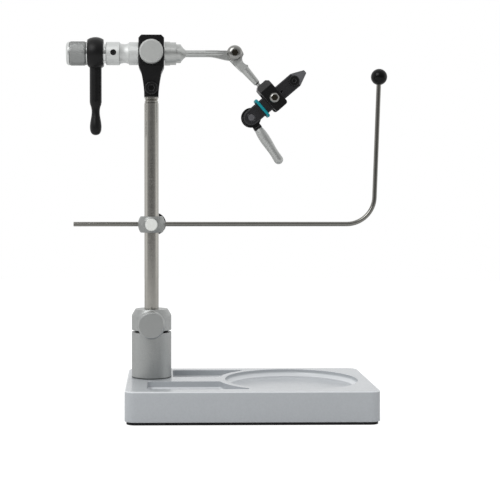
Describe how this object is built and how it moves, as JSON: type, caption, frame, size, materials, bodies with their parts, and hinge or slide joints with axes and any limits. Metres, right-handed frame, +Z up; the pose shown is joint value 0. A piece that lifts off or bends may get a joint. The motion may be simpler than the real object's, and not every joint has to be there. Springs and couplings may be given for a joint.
{
  "type": "fly tying vise",
  "caption": "Rotary fly tying vise: a stem on a heavy tray base carries a crank-turned head, an angled arm with cam-closed hook jaws, and a sliding bent material rest with a ball end.",
  "frame": {"origin": "middle of the underside of the base's rubber pad, on the table", "axes": "+X from the crank to the jaws, +Y away from the tyer, +Z up along the stem"},
  "size_m": [0.224, 0.104, 0.2585],
  "materials": {
    "base_paint": "satin silver-grey powder coat",
    "pad_rubber": "matt black sheet",
    "grey_anodised": "bead-blasted grey anodising",
    "brushed_stainless": "drawn bar, finely brushed",
    "turned_aluminium": "turned and satin blasted",
    "black_anodised": "satin black anodising",
    "black_steel": "black oxide",
    "bright_screw": "bright plated",
    "black_plastic": "moulded black",
    "teal_rubber": "soft teal rubber",
    "bush_bronze": "plain bearing metal",
    "white_nylon": "moulded"
  },
  "bodies": {
    "base": {"base_plate": "base_paint", "base_pad": "pad_rubber", "stem_post": "grey_anodised", "post_bolt": "black_steel", "post_clamp_shoe": "bush_bronze"},
    "post_knob": {"post_clamp_knob": "grey_anodised"},
    "stem_column": {"stem": "brushed_stainless", "swivel_washer": "turned_aluminium"},
    "rest_carrier": {"rest_bush": "black_plastic"},
    "rest_clamp": {"rest_block": "grey_anodised", "rest_plug": "turned_aluminium"},
    "rest_lock": {"rest_knob": "black_plastic"},
    "rest_bar": {"rest_rod": "brushed_stainless", "rest_ball": "black_plastic"},
    "head": {"head_housing": "black_anodised", "crank_side_bush": "bush_bronze", "jaw_side_bush": "bush_bronze", "head_screw": "black_steel", "tension_shoe": "white_nylon"},
    "tension": {"tension_knob": "turned_aluminium"},
    "rotary": {"rotary_spindle": "turned_aluminium", "drive_sleeve": "turned_aluminium", "sleeve_set_screw": "black_steel", "inner_washer": "turned_aluminium", "outer_washer": "turned_aluminium", "crank": "black_anodised"},
    "crank_nut": {"end_knob": "turned_aluminium"},
    "arm": {"jaw_arm": "turned_aluminium", "pivot_screw": "bright_screw", "jaw_holder": "black_anodised", "holder_screw": "bright_screw"},
    "jaw_set": {"cam_pin": "black_steel", "jaw_ring": "teal_rubber"},
    "lever": {"cam_lever": "black_anodised", "lever_handle": "turned_aluminium"},
    "jaw_front": {"front_jaw": "black_steel", "nose_screw": "black_steel"},
    "jaw_rear": {"rear_jaw": "black_steel"}
  },
  "joints": [
    {"name": "post_knob_turn", "type": "hinge", "parent": "base", "child": "post_knob", "pos_m": [-0.0662, 0.012, 0.06], "axis": [0, -1, 0], "range_deg": [-180, 45]},
    {"name": "stem_height", "type": "slide", "parent": "base", "child": "stem_column", "axis": [0, 0, 1], "range_m": [-0.006, 0.012]},
    {"name": "rest_slide", "type": "slide", "parent": "stem_column", "child": "rest_carrier", "axis": [0, 0, 1], "range_m": [-0.045, 0.025]},
    {"name": "rest_swivel", "type": "hinge", "parent": "rest_carrier", "child": "rest_clamp", "pos_m": [-0.0662, 0.012, 0.1], "axis": [0, 0, 1], "continuous": true},
    {"name": "rest_lock_turn", "type": "hinge", "parent": "rest_clamp", "child": "rest_lock", "pos_m": [-0.064, 0.012, 0.1282], "axis": [0, 1, 0], "range_deg": [-180, 45]},
    {"name": "rest_bar_slide", "type": "slide", "parent": "rest_clamp", "child": "rest_bar", "axis": [1, 0, 0], "range_m": [-0.03, 0.038]},
    {"name": "head_swivel", "type": "hinge", "parent": "stem_column", "child": "head", "pos_m": [-0.0662, 0.012, 0.1], "axis": [0, 0, 1], "range_deg": [-90, 90]},
    {"name": "tension_turn", "type": "hinge", "parent": "head", "child": "tension", "pos_m": [-0.0662, 0.012, 0.2465], "axis": [0, -1, 0], "range_deg": [-180, 45]},
    {"name": "rotary_spin", "type": "hinge", "parent": "head", "child": "rotary", "pos_m": [-0.0662, 0.012, 0.2465], "axis": [1, 0, 0], "continuous": true},
    {"name": "crank_nut_turn", "type": "hinge", "parent": "rotary", "child": "crank_nut", "pos_m": [-0.0662, 0.012, 0.2465], "axis": [1, 0, 0], "range_deg": [-180, 45]},
    {"name": "arm_pivot", "type": "hinge", "parent": "rotary", "child": "arm", "pos_m": [-0.0087, 0.012, 0.2465], "axis": [0, -1, 0], "range_deg": [-25, 25]},
    {"name": "jaw_tilt", "type": "hinge", "parent": "arm", "child": "jaw_set", "pos_m": [0.01855, 0.012, 0.2156], "axis": [0, -1, 0], "range_deg": [-15, 15]},
    {"name": "cam_turn", "type": "hinge", "parent": "jaw_set", "child": "lever", "pos_m": [0.00288, 0.012, 0.20222], "axis": [0, 1, 0], "range_deg": [0, 60]},
    {"name": "front_jaw_rock", "type": "hinge", "parent": "jaw_set", "child": "jaw_front", "pos_m": [0.01855, 0.012, 0.2156], "axis": [-0.6494, 0, 0.7604], "range_deg": [0, 0.9]},
    {"name": "rear_jaw_rock", "type": "hinge", "parent": "jaw_set", "child": "jaw_rear", "pos_m": [0.01855, 0.012, 0.2156], "axis": [0.6494, 0, -0.7604], "range_deg": [0, 0.9]}
  ],
  "couplings": [
    {"joint": "front_jaw_rock", "follows": "cam_turn", "ratio": 0.015},
    {"joint": "rear_jaw_rock", "follows": "cam_turn", "ratio": 0.015}
  ]
}
